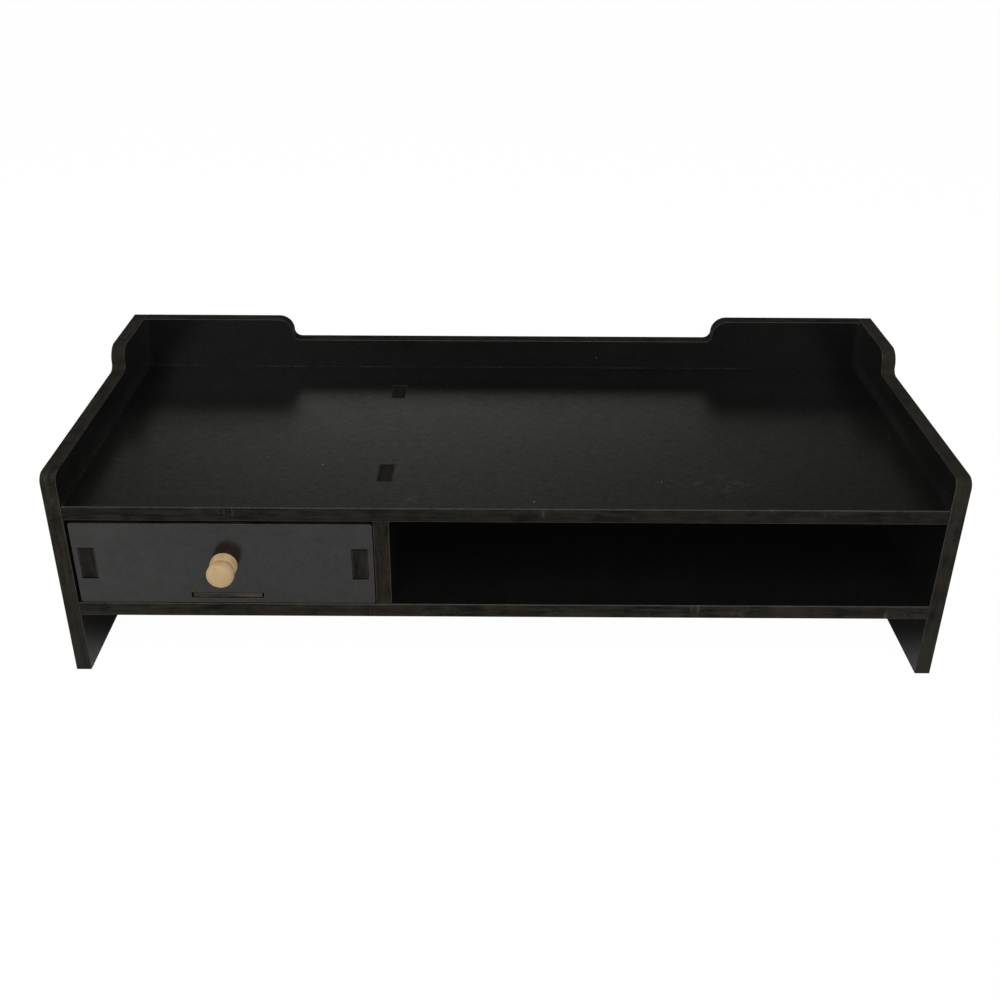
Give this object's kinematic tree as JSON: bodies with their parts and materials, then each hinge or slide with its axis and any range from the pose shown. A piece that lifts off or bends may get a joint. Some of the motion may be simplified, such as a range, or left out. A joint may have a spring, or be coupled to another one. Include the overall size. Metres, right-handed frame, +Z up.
{
  "type": "monitor riser stand",
  "caption": "Slot-together monitor riser with a rimmed top shelf, raised rear corners, an open bay and a pull-out drawer with a round wooden knob.",
  "frame": {"origin": "on the table, under the middle of the bounding box of the stand with its knob", "axes": "+X to the user's right along the width, +Y to the rear, +Z up"},
  "size_m": [0.515, 0.214, 0.15],
  "materials": {
    "black_board": "satin black faces on wood-fibre board, rougher brownish-grey cut edges",
    "thin_board": "satin black thin board, brownish cut edges",
    "knob_wood": "bare sanded pale wood, end grain on the front face",
    "screw_steel": "zinc-plated"
  },
  "bodies": {
    "stand": {"left_side_panel": "black_board", "right_side_panel": "black_board", "back_panel": "black_board", "top_shelf": "black_board", "bottom_shelf": "black_board", "divider_panel": "black_board"},
    "drawer": {"drawer_front": "black_board", "drawer_left_side": "black_board", "drawer_right_side": "black_board", "drawer_back": "black_board", "drawer_bottom": "thin_board", "drawer_knob": "knob_wood", "knob_screw": "screw_steel"}
  },
  "joints": [
    {"name": "drawer_slide", "type": "slide", "parent": "stand", "child": "drawer", "axis": [0, -1, 0], "range_m": [0, 0.15]}
  ]
}
